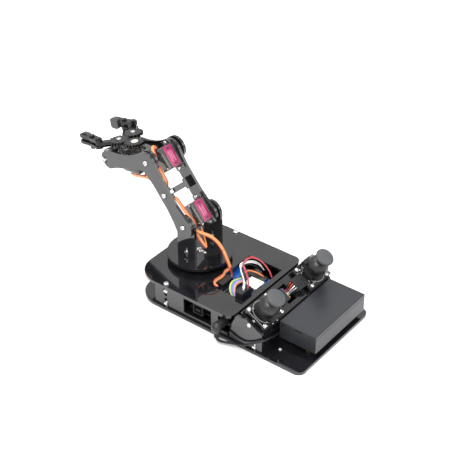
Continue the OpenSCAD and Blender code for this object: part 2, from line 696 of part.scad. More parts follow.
module at_drive() translate([-drive_du, gear_c - drive_dv, 0]) children();

module claw_base() color([0.06, 0.06, 0.07])
at_claw() translate([0, 0, -sheet]) linear_extrude(sheet) difference() {
  union() {
    translate([-30.5, -brb_in - claw_y]) square([46, brb_in + brf_in]);
    for (x = [37.5, 50]) translate([x - claw_x, -brb_out - claw_y]) square([8.5, brb_out + brf_out]);
  }
  at_drive() {
    servo_hole();
    ear_holes();
  }
  for (s = [-1, 1]) {
    translate([idler_u, s * (gear_c + idler_v)]) circle(m3_hole);
    translate([0, s * gear_c]) circle(pin_r + 0.03);
  }
}

module claw_servo() color([0.3, 0.3, 0.33]) at_claw() at_drive() translate([0, 0, -sheet]) micro_servo();

module claw_horn() color([0.9, 0.88, 0.8]) at_claw() at_drive() translate([0, 0, 5.3]) difference() {
  cylinder(r = horn_r, h = 6.3);
  translate([0, 0, -1]) cylinder(r = spline_r + 0.05, h = 4);
  translate([0, 0, 4.8]) cylinder(r = 1.8, h = 2);
}

module forearm_fasteners() color([0.75, 0.76, 0.78]) {
  at_fore() for (y = [brf_in, -brb_out]) {
    translate([64.7, y + sheet / 2, -11.7]) rotate([0, 90, 0]) nut();
    translate([62.1, y + sheet / 2, -11.7]) rotate([0, 90, 0]) cylinder(r = m3, h = 6);
  }
  at_claw() {
    // sleeves and screws that carry the two finger gears
    for (s = [-1, 1]) translate([0, s * gear_c, 0]) {
      difference() {
        union() {
          cylinder(r = 1.65, h = 2);
          translate([0, 0, 1.3]) cylinder(r = 2.1, h = layer2 + sheet + 0.1 - 1.3);
        }
        translate([0, 0, -1]) cylinder(r = pin_r, h = 14);
      }
      translate([0, 0, layer2 + sheet + 0.1]) screw(14, pin_r, 2.4, 1.5);
    }
    at_drive() for (s = [-1, 1]) translate([ear_mid + s * ear_pitch, 0, 0]) screw(5, 0.95, 1.6, 1);
    for (s = [-1, 1]) translate([idler_u, s * (gear_c + idler_v), 0]) {
      difference() {
        cylinder(r = 3, h = layer0 - 0.05);
        translate([0, 0, -1]) cylinder(r = m3, h = 3);
      }
      translate([0, 0, layer0 + 2.9 + 0.05]) screw(9.5, m3, 2.5, 1.6);
      translate([0, 0, -sheet - nut_h / 2]) nut();
    }
  }
}

// ---------------------------------------------------------------- gripper
module gear_2d(phase) {
  circle(gear_c - 1.25);
  for (i = [0:teeth - 1]) rotate(phase + 360 * i / teeth)
    polygon([[gear_c - 1.7, -1.2], [gear_c - 0.9, -0.98], [gear_c, -0.75], [gear_c + 0.9, -0.36],
      [gear_c + 0.9, 0.36], [gear_c, 0.75], [gear_c - 0.9, 0.98], [gear_c - 1.7, 1.2]]);
}

// the tooth phase of each gear keeps it in mesh with its neighbour
module claw_gear_drive() color([0.06, 0.06, 0.07]) at_claw() at_drive() translate([0, 0, layer2])
linear_extrude(sheet) difference() {
  gear_2d(270 + 2 * asin(drive_dv / (2 * gear_c)) + 180 / teeth);
  circle(horn_r + 0.03);
}

module gear_arm(s) translate([0, s * gear_c, layer2]) linear_extrude(sheet) difference() {
  union() {
    gear_2d(s > 0 ? -90 : 90 + 180 / teeth);
    rotate(s * open_angle) {
      translate([0, -3.1]) square([link_len, 6.2]);
      translate([link_len, 0]) circle(3.1);
    }
  }
  circle(2.16);
  rotate(s * open_angle) translate([link_len, 0]) circle(run_hole);
}
module claw_gear_front() color([0.06, 0.06, 0.07]) at_claw() gear_arm(1);
module claw_gear_back() color([0.06, 0.06, 0.07]) at_claw() gear_arm(-1);

module idler(s) translate([idler_u, s * (gear_c + idler_v), layer0]) rotate([0, 0, s * open_angle])
linear_extrude(2.9) difference() {
  union() {
    translate([0, -2.8]) square([link_len, 5.6]);
    circle(3.4);
    translate([link_len, 0]) circle(3.2);
  }
  circle(run_hole);
  translate([link_len, 0]) circle(m3 + 0.2);
}
module claw_idler_front() color([0.06, 0.06, 0.07]) at_claw() idler(1);
module claw_idler_back() color([0.06, 0.06, 0.07]) at_claw() idler(-1);

module finger_shape(s) {
  circle(4);
  translate([idler_u, s * idler_v]) circle(4);
  polygon([[0, s * 4], [11.5, s * 2], [20, s * 1.6], [26.5, s * 1.2], [28.3, s * -0.3], [28.3, s * -2.1],
    [17, s * -2.1], [15, s * -4.2], [11.5, s * -6], [0, s * -4]]);
}

module at_finger(s) at_claw()
  translate([link_len * cos(open_angle), s * (gear_c + link_len * sin(open_angle)), 0]) children();

module finger(s) at_finger(s) {
  for (z = [layer1, layer3]) translate([0, 0, z]) linear_extrude(sheet) finger_shape(s);
  translate([0, 0, layer1 + 0.1]) cylinder(r = m3, h = layer3 - layer1);
  translate([0, 0, layer3 + sheet - 0.1]) cylinder(r = 2.7, h = 1.6);
  translate([idler_u, s * idler_v, layer0 - 0.1]) cylinder(r = m3, h = layer1 - layer0 + 0.5);
  translate([idler_u, s * idler_v, layer1 + 1]) cylinder(r = 2.8, h = layer3 - layer1);
  translate([idler_u, s * idler_v, layer3 + sheet - 0.1]) cylinder(r = 2.7, h = 1.6);
}
module finger_front() color([0.06, 0.06, 0.07]) finger(1);
module finger_back() color([0.06, 0.06, 0.07]) finger(-1);

module pad(s) at_finger(s) translate([23, s > 0 ? -2.1 : 6.6, pad_mid])
rotate([90, 0, 0]) linear_extrude(4.5) {
  translate([-5.5, -2.8]) square([11, 5.6]);
  translate([-2.8, -5.5]) square([5.6, 11]);
  for (x = [-2.8, 2.8], z = [-2.8, 2.8]) translate([x, z]) circle(2.7);
}
module finger_pad_front() color([0.35, 0.35, 0.36]) pad(1);
module finger_pad_back() color([0.35, 0.35, 0.36]) pad(-1);

base_plate();
side_plate_front();
side_plate_back();
end_plate();
deck_plate();
servo_shelf();
console_bracket_front();
console_bracket_back();
console_plate();
console_ribs();
control_board();
usb_socket();
board_plastics();
shield_board();
brass_standoffs();
base_servo();
battery_case();
battery_lid();
battery_cells();
battery_contacts();
frame_fasteners();
joystick_boards();
joystick_housings();
joystick_yoke_front();
joystick_shaft_front();
joystick_cap_front();
joystick_yoke_rear();
joystick_shaft_rear();
joystick_cap_rear();
power_plug();
power_cord();
turntable_disc();
bracket_front();
bracket_back();
turntable_horns();
turntable_fasteners();
arm_plate_front();
arm_plate_back();
arm_brace();
shoulder_servo();
elbow_servo();
arm_fasteners();
forearm_plate_front();
forearm_plate_back();
claw_base();
claw_servo();
forearm_fasteners();
elbow_horn();
claw_gear_drive();
claw_horn();
claw_gear_front();
claw_gear_back();
claw_idler_front();
claw_idler_back();
finger_front();
finger_back();
finger_pad_front();
finger_pad_back();
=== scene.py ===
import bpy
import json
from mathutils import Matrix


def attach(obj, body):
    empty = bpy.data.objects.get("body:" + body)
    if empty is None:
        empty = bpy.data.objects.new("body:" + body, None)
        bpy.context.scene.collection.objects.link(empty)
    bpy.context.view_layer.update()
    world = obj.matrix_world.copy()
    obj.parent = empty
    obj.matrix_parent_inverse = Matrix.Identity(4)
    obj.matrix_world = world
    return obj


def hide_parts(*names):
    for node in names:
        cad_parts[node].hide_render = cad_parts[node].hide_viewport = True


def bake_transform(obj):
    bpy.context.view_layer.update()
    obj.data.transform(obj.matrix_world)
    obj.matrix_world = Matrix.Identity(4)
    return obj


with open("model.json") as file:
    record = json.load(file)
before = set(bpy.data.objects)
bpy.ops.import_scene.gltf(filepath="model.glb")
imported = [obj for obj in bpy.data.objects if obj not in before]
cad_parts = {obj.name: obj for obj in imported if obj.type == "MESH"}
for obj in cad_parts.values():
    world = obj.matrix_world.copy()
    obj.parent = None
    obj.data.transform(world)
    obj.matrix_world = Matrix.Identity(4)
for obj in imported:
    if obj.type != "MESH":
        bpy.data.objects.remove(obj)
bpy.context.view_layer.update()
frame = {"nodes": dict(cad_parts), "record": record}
import json
import math
import bpy
import bmesh
from mathutils import Matrix, Vector

MM = 0.001
HERE = Matrix.Identity(4)
scene = bpy.context.scene


# ------------------------------------------------------------------ camera (metres)
EYE = (-0.60364, 0.73223, 0.72221)
FOCAL_LENGTH = 95.53


def make_camera():
    """The photo's camera, turned by azimuth, elevation and roll."""
    az, el, roll = math.radians(217.959), math.radians(34.702), math.radians(-0.186)
    back = Vector((math.sin(az) * math.cos(el), -math.cos(az) * math.cos(el), math.sin(el)))
    right = Vector((math.cos(az), math.sin(az), 0))
    up = back.cross(right)
    r = right * math.cos(roll) + up * math.sin(roll)
    u = up * math.cos(roll) - right * math.sin(roll)
    m = Matrix((r, u, back)).transposed().to_4x4()
    m.translation = EYE
    data = bpy.data.cameras.new("camera")
    data.sensor_width = 36
    data.lens = FOCAL_LENGTH
    data.clip_start = 0.05
    data.clip_end = 60
    cam = bpy.data.objects.new("camera", data)
    cam.matrix_world = m
    scene.collection.objects.link(cam)
    scene.camera = cam


make_camera()


# ------------------------------------------------------------------ frames of the moving groups (mm)
def tr(x, y, z):
    return Matrix.Translation((x, y, z))


def rot(deg, axis):
    return Matrix.Rotation(math.radians(deg), 4, axis)


# yaw of the turntable, and the shoulder axis on it
TURN = rot(-4.5, "Z")
SHOULDER_X, SHOULDER_Z = 3.5, 71
# upper arm: its angle above level and the length between its axes; forearm: its angle below level
ARM_A, ARM_L, PITCH = 47.9, 71.0, 10.0
EX = SHOULDER_X + ARM_L * math.cos(math.radians(ARM_A))
EZ = SHOULDER_Z + ARM_L * math.sin(math.radians(ARM_A))
ARM = TURN @ tr(SHOULDER_X, 0, SHOULDER_Z) @ rot(-ARM_A, "Y")
FORE = TURN @ tr(EX, 0, EZ) @ rot(PITCH, "Y")
# gripper: its driven gear, and the place of the driving gear relative to it
CLAW = FORE @ tr(52.5, -5.85, -3.1)
GEAR_C, DRIVE_DV = 9.5, 3.8
DRIVE_DU = math.sqrt(4 * GEAR_C ** 2 - DRIVE_DV ** 2)
# sloping console, and the two joystick modules on it
CONSOLE = tr(-102.8, 0, 31) @ rot(-30, "Y")
STICKS = {"front": CONSOLE @ tr(0, 36.5, 0), "rear": CONSOLE @ tr(0, -41.5, 0) @ rot(180, "Z")}


# ------------------------------------------------------------------ materials
def nodes_of(m):
    m.use_nodes = True
    nt = m.node_tree
    for n in list(nt.nodes):
        nt.nodes.remove(n)
    out = nt.nodes.new("ShaderNodeOutputMaterial")
    bs = nt.nodes.new("ShaderNodeBsdfPrincipled")
    nt.links.new(bs.outputs[0], out.inputs[0])
    return nt, bs


def noise(nt, scale, detail=3, rough=0.55, stretch=None):
    co = nt.nodes.new("ShaderNodeTexCoord")
    n = nt.nodes.new("ShaderNodeTexNoise")
    n.inputs["Scale"].default_value = scale
    n.inputs["Detail"].default_value = detail
    n.inputs["Roughness"].default_value = rough
    src = co.outputs["Object"]
    if stretch:
        mp = nt.nodes.new("ShaderNodeMapping")
        mp.inputs["Scale"].default_value = stretch
        nt.links.new(src, mp.inputs[0])
        src = mp.outputs[0]
    nt.links.new(src, n.inputs["Vector"])
    return n.outputs["Fac"]


def remap(nt, fac, a, b):
    """Spreads the middle of a noise, where most of its values lie, over a to b."""
    r = nt.nodes.new("ShaderNodeMapRange")
    r.inputs["From Min"].default_value = 0.35
    r.inputs["From Max"].default_value = 0.65
    r.inputs["To Min"].default_value = a
    r.inputs["To Max"].default_value = b
    nt.links.new(fac, r.inputs["Value"])
    return r.outputs[0]


def mat(name, color, rough=0.4, metal=0.0, var=0.12, scale=400, bump=0.0, bump_scale=None, rvar=0.08,
        edge=0.0003, coat=0.0, trans=0.0, spec=0.5, stretch=None):
    """A principled material: faint noise in colour and roughness, a rounded edge, and a bump if asked."""
    m = bpy.data.materials.new(name)
    nt, bs = nodes_of(m)
    c = nt.nodes.new("ShaderNodeMix")
    c.data_type = "RGBA"
    c.inputs[6].default_value = (*[v * (1 - var) for v in color], 1)
    c.inputs[7].default_value = (*[min(1, v * (1 + var)) for v in color], 1)
    f = noise(nt, scale, stretch=stretch)
    nt.links.new(remap(nt, f, 0, 1), c.inputs[0])
    nt.links.new(c.outputs[2], bs.inputs["Base Color"])
    nt.links.new(remap(nt, noise(nt, scale * 0.35, 4), max(0.01, rough - rvar), min(1, rough + rvar)),
                 bs.inputs["Roughness"])
    bs.inputs["Metallic"].default_value = metal
    bs.inputs["IOR"].default_value = 1.49
    bs.inputs["Coat Weight"].default_value = coat
    bs.inputs["Coat Roughness"].default_value = 0.05
    bs.inputs["Transmission Weight"].default_value = trans
    bs.inputs["Specular IOR Level"].default_value = spec
    normal = None
    if edge:
        bv = nt.nodes.new("ShaderNodeBevel")
        bv.samples = 4
        bv.inputs["Radius"].default_value = edge
        normal = bv.outputs[0]
    if bump:
        bp = nt.nodes.new("ShaderNodeBump")
        bp.inputs["Strength"].default_value = bump
        bp.inputs["Distance"].default_value = 0.0002
        nt.links.new(noise(nt, bump_scale or scale * 3, 4, 0.6, stretch), bp.inputs["Height"])
        if normal:
            nt.links.new(normal, bp.inputs["Normal"])
        normal = bp.outputs[0]
    if normal:
        nt.links.new(normal, bs.inputs["Normal"])
    return m


M = {
    "acrylic": mat("acrylic_black", (0.008, 0.008, 0.0098), rough=0.045, var=0.3, scale=55, rvar=0.02,
                   bump=0.012, bump_scale=60, coat=0.6),
    # darker, duller copy of the black acrylic for gears, idlers and fingers: its darker colour is painted
    # shade
    "acrylic_gear_painted_shade": mat("acrylic_gear_painted_shade", (0.006, 0.006, 0.0065), rough=0.22, var=0.3, scale=300, edge=0.00015,
                        spec=0.36),
    "case": mat("case_satin", (0.021, 0.022, 0.026), rough=0.3, var=0.06, scale=900, bump=0.008,
                bump_scale=2600, rvar=0.02, edge=0.0012),
    "conn": mat("connector_black", (0.012, 0.012, 0.013), rough=0.38, var=0.25, scale=900, bump=0.12,
                edge=0.0002),
    "smoke": mat("servo_smoke", (0.1, 0.095, 0.085), rough=0.12, var=0.25, scale=500, trans=0.5, edge=0.0003,
                 coat=0.5),
    "inner": mat("servo_inner", (0.05, 0.045, 0.035), rough=0.5, var=0.5, scale=700, edge=0),
    "label": mat("label_magenta", (0.3, 0.008, 0.085), rough=0.32, var=0.15, scale=300, edge=0, coat=0.2),
    "label_mark": mat("label_mark", (0.5, 0.2, 0.3), rough=0.4, var=0.1, scale=500, edge=0),
    "label_dark": mat("label_dark", (0.05, 0.01, 0.03), rough=0.4, var=0.1, scale=500, edge=0),
    "cream": mat("horn_cream", (0.78, 0.74, 0.63), rough=0.35, var=0.06, scale=500, edge=0.0003),
    "blue": mat("solder_mask_blue", (0.004, 0.07, 0.3), rough=0.22, var=0.25, scale=600, edge=0.0001,
                coat=0.3),
    # darker copy of the blue solder mask for the control board: its darkness is painted shade of the board
    # lying in shadow under the deck
    "pcb_blue_painted_shade": mat("solder_mask_blue_painted_shade", (0.003, 0.005, 0.009), rough=0.5, var=0.3, scale=600, edge=0.0001),
    "pcb_black": mat("solder_mask_black", (0.008, 0.008, 0.009), rough=0.3, var=0.3, scale=700, edge=0.0001),
    "silk": mat("board_print_white", (0.45, 0.45, 0.43), rough=0.5, var=0.08, scale=900, edge=0),
    "steel": mat("zinc_steel", (0.72, 0.72, 0.71), rough=0.24, metal=1.0, var=0.1, scale=900, edge=0.0002),
    "shell": mat("socket_shell", (0.66, 0.67, 0.69), rough=0.3, metal=1.0, var=0.08, scale=300,
                 stretch=(1, 12, 1)),
    "socket": mat("socket_dark", (0.006, 0.006, 0.006), rough=0.6, var=0.15, scale=300, edge=0, spec=0.2),
    "brass": mat("brass_turned", (0.72, 0.5, 0.18), rough=0.26, metal=1.0, var=0.15, scale=500, edge=0.0003),
    "gold": mat("pin_gold", (0.85, 0.62, 0.22), rough=0.25, metal=1.0, var=0.1, scale=900, edge=0),
    "cell": mat("cell_wrap", (0.05, 0.2, 0.35), rough=0.3, var=0.1, scale=200),
    "stick": mat("stick_grey", (0.06, 0.062, 0.066), rough=0.5, var=0.12, scale=1400, bump=0.3,
                 bump_scale=5200, edge=0.0004),
    "dome": mat("stick_dome", (0.018, 0.018, 0.019), rough=0.34, var=0.1, scale=900, bump=0.01,
                bump_scale=2600, edge=0),
    "pad": mat("pad_grey", (0.035, 0.035, 0.037), rough=0.3, var=0.2, scale=700, bump=0.05, bump_scale=2500,
               edge=0.0008),
    "cord": mat("cord_black", (0.009, 0.009, 0.01), rough=0.42, var=0.3, scale=700, bump=0.2, bump_scale=1800,
                edge=0),
    "card": mat("card_white", (0.92, 0.91, 0.88), rough=0.6, var=0.04, scale=300, edge=0),
    "chip": mat("chip_epoxy", (0.012, 0.012, 0.012), rough=0.6, var=0.3, scale=2000, bump=0.2, edge=0.0002),
    "solder": mat("solder_tin", (0.6, 0.6, 0.6), rough=0.35, metal=1.0, var=0.15, scale=1500, edge=0),
}
WIRE = {
    "orange": (0.74, 0.26, 0.07), "red": (0.5, 0.08, 0.035), "brown": (0.24, 0.04, 0.02),
    "yellow": (0.62, 0.6, 0.16), "green": (0.16, 0.4, 0.14), "blue": (0.12, 0.2, 0.62),
    # the pale orange is a lighter copy of the orange wire: a painted highlight for the cream shine on the
    # leads
    "violet": (0.38, 0.2, 0.6), "pink": (0.42, 0.045, 0.055), "orange_painted_highlight": (0.82, 0.44, 0.2),
    "grey": (0.4, 0.4, 0.41), "white": (0.8, 0.8, 0.78), "black": (0.012, 0.012, 0.013),
}
for hue, tone in WIRE.items():
    M["w_" + hue] = mat("wire_" + hue, tone, rough=0.36, var=0.1, scale=500, bump=0.08, edge=0)

# the look of each slot of the CAD part
SLOT_LOOK = {
    "acrylic": "acrylic", "case_plastic": "case", "black_plastic": "conn", "servo_case": "smoke",
    "horn_plastic": "cream", "circuit_blue": "blue", "circuit_black": "pcb_black", "socket_steel": "socket",
    "screw_steel": "steel", "brass": "brass", "cell_wrap": "cell", "spring_steel": "steel",
    "stick_plastic": "stick", "pad_rubber": "pad", "cord_jacket": "cord",
}


def look_of(node, slot):
    # the control board takes the blue mask darkened with painted shade
    if node == "control_board":
        return "pcb_blue_painted_shade"
    # gears, idlers and fingers take the acrylic darkened with painted shade
    if slot == "acrylic" and any(word in node for word in ("gear", "idler", "finger")):
        return "acrylic_gear_painted_shade"
    return SLOT_LOOK[slot]


def dress_cad_nodes():
    for sp in frame["record"]["subparts"]:
        if sp["material_slot"] in SLOT_LOOK and sp["node"] in frame["nodes"]:
            slots = frame["nodes"][sp["node"]].data.materials
            slots.clear()
            slots.append(M[look_of(sp["node"], sp["material_slot"])])


dress_cad_nodes()


# ------------------------------------------------------------------ mesh building
class Build:
    """Collects bevelled solids, in millimetres, in one mesh."""

    def __init__(self, name, at=HERE):
        self.bm = bmesh.new()
        self.name = name
        self.at = at
        self.mats = []

    def _mat(self, key):
        if key not in self.mats:
            self.mats.append(key)
        return self.mats.index(key)

    def _add(self, tmp, key, at=HERE, bevel=0.0):
        if bevel:
            es = [e for e in tmp.edges if len(e.link_faces) == 2 and e.calc_face_angle(0) > 0.6]
            bmesh.ops.bevel(tmp, geom=es, offset=bevel, segments=2, profile=0.5, affect="EDGES",
                            clamp_overlap=True)
        idx = self._mat(key)
        vmap = {v: self.bm.verts.new(at @ v.co) for v in tmp.verts}
        for f in tmp.faces:
            nf = self.bm.faces.new([vmap[v] for v in f.verts])
            nf.material_index = idx
            nf.smooth = True
        tmp.free()

    def box(self, lo, hi, key, bevel=0.25):
        t = bmesh.new()
        bmesh.ops.create_cube(t, size=1)
        c = [(a + b) / 2 for a, b in zip(lo, hi)]
        s = [abs(b - a) for a, b in zip(lo, hi)]
        for v in t.verts:
            v.co = Vector((v.co.x * s[0] + c[0], v.co.y * s[1] + c[1], v.co.z * s[2] + c[2]))
        self._add(t, key, bevel=min(bevel, min(s) * 0.45))

    def cyl(self, r, z0, z1, key, at=HERE, seg=40, bevel=0.15):
        """A cylinder along Z with rounded rims."""
        t = bmesh.new()
        bmesh.ops.create_cone(t, cap_ends=True, segments=seg, radius1=r, radius2=r, depth=z1 - z0)
        for v in t.verts:
            v.co.z += (z0 + z1) / 2
        es = [e for e in t.edges if abs(e.verts[0].co.z - e.verts[1].co.z) < 1e-6]
        bmesh.ops.bevel(t, geom=es, offset=min(bevel, (z1 - z0) * 0.4, r * 0.4), segments=2, profile=0.5,
                        affect="EDGES", clamp_overlap=True)
        self._add(t, key, at)

    def rev(self, pts, key):
        """An outline of (radius, height) points, turned round Z."""
        t = bmesh.new()
        seg = 48
        turns = [2 * math.pi * k / seg for k in range(seg)]
        rings = []
        for r, z in pts:
            if r < 1e-6:
                rings.append([t.verts.new((0, 0, z))])
            else:
                rings.append([t.verts.new((r * math.cos(a), r * math.sin(a), z)) for a in turns])
        for a, b in zip(rings, rings[1:]):
            for k in range(seg):
                q = [a[k % len(a)], a[(k + 1) % len(a)], b[(k + 1) % len(b)], b[k % len(b)]]
                q = list(dict.fromkeys(q))
                if len(q) > 2:
                    t.faces.new(q)
        bmesh.ops.recalc_face_normals(t, faces=t.faces)
        self._add(t, key)

    def prism(self, poly, z0, z1, key):
        t = bmesh.new()
        lo = [t.verts.new((x, y, z0)) for x, y in poly]
        hi = [t.verts.new((x, y, z1)) for x, y in poly]
        n = len(poly)
        t.faces.new(list(reversed(lo)))
        t.faces.new(hi)
        for k in range(n):
            t.faces.new([lo[k], lo[(k + 1) % n], hi[(k + 1) % n], hi[k]])
        bmesh.ops.recalc_face_normals(t, faces=t.faces)
        self._add(t, key)

    def done(self, body, replaces=()):
        bmesh.ops.remove_doubles(self.bm, verts=self.bm.verts, dist=1e-5)
        me = bpy.data.meshes.new(self.name)
        self.bm.to_mesh(me)
        self.bm.free()
        me.transform(Matrix.Scale(MM, 4) @ self.at)
        for k in self.mats:
            me.materials.append(M[k])
        o = bpy.data.objects.new(self.name, me)
        scene.collection.objects.link(o)
        me.set_sharp_from_angle(angle=math.radians(35))
        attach(o, body)
        if replaces:
            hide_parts(*replaces)


def sweep(bm, pts, profile, hint=Vector((0, 0, 1)), fixed=False):
    """Sweeps a closed 2-D profile along pts with a steady frame, or with its y side kept towards hint."""
    n = len(pts)
    tans = [(pts[min(i + 1, n - 1)] - pts[max(i - 1, 0)]).normalized() for i in range(n)]
    a = hint - tans[0] * hint.dot(tans[0])
    if a.length < 1e-3:
        a = Vector((1, 0, 0)) - tans[0] * tans[0].x
    a.normalize()
    rings = []
    for i in range(n):
        t = tans[i]
        if fixed:
            a = hint
        a = a - t * a.dot(t)
        a.normalize()
        b = t.cross(a)
        rings.append([bm.verts.new(pts[i] + b * x + a * y) for x, y in profile])
    m = len(profile)
    for r0, r1 in zip(rings, rings[1:]):
        for k in range(m):
            bm.faces.new([r0[k], r0[(k + 1) % m], r1[(k + 1) % m], r1[k]])
    bm.faces.new(list(reversed(rings[0])))
    bm.faces.new(rings[-1])
    bmesh.ops.recalc_face_normals(bm, faces=bm.faces)


def spline(pts, per):
    """Catmull-Rom curve through the points, in per steps between two of them."""
    p = [Vector(q) for q in pts]
    p = [p[0] * 2 - p[1]] + p + [p[-1] * 2 - p[-2]]
    out = []
    for i in range(1, len(p) - 2):
        for k in range(per):
            t = k / per
            out.append(0.5 * ((2 * p[i]) + (p[i + 1] - p[i - 1]) * t
                              + (2 * p[i - 1] - 5 * p[i] + 4 * p[i + 1] - p[i + 2]) * t * t
                              + (3 * p[i] - p[i - 1] - 3 * p[i + 1] + p[i + 2]) * t ** 3))
    out.append(p[-2])
    return out


# ------------------------------------------------------------------ cords: the power cord
CORD = [(-71.5, 64.6, 6.4), (-71.9, 64.6, 4.4), (-74.2, 64.5, 3.3), (-78.4, 63.4, 3.2), (-84, 61.7, 3.6),
        (-89.6, 60.3, 4.3), (-95.2, 59.3, 5.6), (-100.8, 58.9, 8.2), (-106.4, 58.8, 11.8), (-112, 58.6, 16.1),
        (-117.4, 58.2, 20.2), (-119.9, 53.6, 20.5), (-119.9, 48, 18.8), (-119.3, 42, 16), (-118.3, 36, 13.6),
        (-117.65, 31, 12.3), (-117.65, 26.4, 11.9), (-118.3, 22.9, 12), (-120.4, 22, 12)]


def power_cord():
    """The twin cord: two round sides, joined."""
    r, half_gap = 0.78, 0.62
    fine = spline(CORD, 4)
    bm = bmesh.new()
    prof = []
    for side in (1, -1):
        for k in range(9):
            a = math.pi * (k / 8 - 0.5 * side)
            prof.append((side * half_gap + r * math.cos(a), r * math.sin(a)))
    sweep(bm, fine, prof)
    me = bpy.data.meshes.new("power_cord_twin")
    bm.to_mesh(me)
    bm.free()
    for p in me.polygons:
        p.use_smooth = True
    me.transform(Matrix.Scale(MM, 4))
    me.materials.append(M["cord"])
    o = bpy.data.objects.new("power_cord_twin", me)
    scene.collection.objects.link(o)
    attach(o, "base")
    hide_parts("power_cord")


power_cord()


# ------------------------------------------------------------------ servo
def servo(name, at, body, node):
    """A nine-gram servo: shaft on +Z, ears at z -2.5 to 0, body towards +X."""
    b = Build(name, at)
    x0, x1, half = -5.9, 16.9, 6.1
    ear, hole, slit = 4.7, 13.9, 1.3
    middle = (x0 + x1) / 2
    label_z0, label_z1 = -13, -2.7
    # smoky lower case, gearbox and cap, with fine joints between them
    b.box((x0, -half, -18.4), (x1, half, -13.9), "smoke", 0.5)
    b.box((-5.8, -6.0, -13.95), (16.8, 6.0, -13.65), "inner", 0.05)
    b.box((x0, -half, -13.7), (x1, half, -2.45), "smoke", 0.4)
    b.box((x0, -half, 0.0), (x1, half, 4.1), "smoke", 0.5)
    b.box((-5.7, -5.9, -2.6), (16.7, 5.9, 0.1), "smoke", 0.1)
    # ears, each slit open from its end to its screw hole
    for s in (-1, 1):
        e0, e1 = (x0 - ear, x0 + 0.2) if s < 0 else (x1 - 0.2, x1 + ear)
        hx = middle + s * hole
        b.box((e0, -half, -2.5), (e1, -slit, 0), "smoke", 0.3)
        b.box((e0, slit, -2.5), (e1, half, 0), "smoke", 0.3)
        bridge = (hx + 1.1, e1) if s < 0 else (e0, hx - 1.1)
        b.box((bridge[0], -1.4, -2.45), (bridge[1], 1.4, -0.05), "smoke", 0.05)
    b.cyl(5.85, 4.0, 8.05, "smoke", bevel=0.4)
    b.cyl(2.85, 4.0, 5.15, "smoke", tr(6.2, 0, 0), bevel=0.3)
    b.cyl(2.38, 8.0, 10.95, "cream", seg=42)
    # motor, gears and circuit seen through the case
    b.cyl(4.9, -12.8, -3.2, "shell", tr(11.2, 0, 0), bevel=0.5)
    b.box((-4.9, -5, -12.5), (5.2, 5, -11.2), "inner", 0.1)
    b.cyl(4.2, 0.6, 1.5, "cream", seg=28)
    b.cyl(2.6, 1.9, 2.9, "cream", tr(6.2, 0, 0), seg=22)
    b.cyl(3.4, 0.5, 1.3, "cream", tr(11.5, 0, 0), seg=24)
    # label round three sides of the middle case, with plain blocks for its print
    label_print = [(-3.6, -1.6, -9.6, -6.2, "label_dark"), (12.6, 14.6, -9.6, -6.2, "label_dark"),
                   (0.2, 11, -6.2, -5.5, "label_mark"), (0.2, 9, -8.2, -7.5, "label_mark"),
                   (0.2, 11, -10.2, -9.5, "label_mark")]
    for s in (-1, 1):
        b.box((-5.2, s * half - 0.06, label_z0), (16.2, s * half + 0.06, label_z1), "label", 0.02)
        for u0, u1, z0, z1, key in label_print:
            b.box((u0, s * 6.17 - 0.03, z0), (u1, s * 6.17 + 0.03, z1), key, 0)
    b.box((16.85, -5.6, label_z0), (16.97, 5.6, label_z1), "label", 0.02)
    # corner screws of the bottom cover
    for x in (-4.2, 15.2):
        for y in (-4.4, 4.4):
            b.cyl(1.05, -18.55, -18.3, "steel", tr(x, y, 0), seg=16, bevel=0.1)
            b.box((x - 0.75, y - 0.12, -18.6), (x + 0.75, y + 0.12, -18.5), "chip", 0)
    # strain relief of the lead
    b.box((-7.1, -2.0, -16.6), (x0 + 0.1, 2.0, -14.0), "conn", 0.3)
    b.done(body, [node])


# the servos of the two arm joints lie on the arm's side, with their shafts across it
SIDE = tr(0, -15.8, 0) @ rot(90, "X")
servo("servo_shoulder", ARM @ SIDE, "upper_arm", "shoulder_servo")
servo("servo_elbow", ARM @ tr(ARM_L, 0, 0) @ SIDE @ rot(180, "Z"), "upper_arm", "elbow_servo")
servo("servo_claw", CLAW @ tr(-DRIVE_DU, GEAR_C - DRIVE_DV, -3), "forearm", "claw_servo")
servo("servo_base", tr(0, 0, 23.9), "base", "base_servo")


# ------------------------------------------------------------------ joysticks
# height of the gimbal's centre and of the board's top over the module's seat
GIMBAL_Z, BOARD_Z = 13.6, 4.6


def arc(r, angles):
    return [(r * math.cos(math.radians(a)), r * math.sin(math.radians(a))) for a in angles]


def joystick_cap(name):
    """Black dome with its rolled rim, and the grey thumb cap on it."""
    cap = Build("joystick_cap_look_" + name, STICKS[name] @ tr(0, 0, GIMBAL_Z))
    rim = [(9.5, 2.7), (9.7, 2.6), (10.45, 2.65), (10.6, 2.95)]
    neck = [(4.5, 10.3), (4.3, 11.2), (4.35, 12.6), (4.6, 13.5)]
    inside = arc(9.5, range(78, 16, -6))
    cap.rev([(2.03, 9.2)] + inside + rim + arc(10.98, range(17, 66, 4)) + neck, "dome")
    cap.rev([(0, 13.55), (5.0, 13.6), (7.4, 14.0), (8.7, 14.7), (9.15, 15.5), (9.2, 16.1), (8.9, 16.9),
             (8.2, 17.5), (7.4, 17.75), (6.6, 17.8), (5.6, 18.15), (3.4, 18.42), (1.6, 18.5), (0, 18.5)],
            "stick")
    cap.done("joystick_%s_cap" % name, ["joystick_cap_" + name])


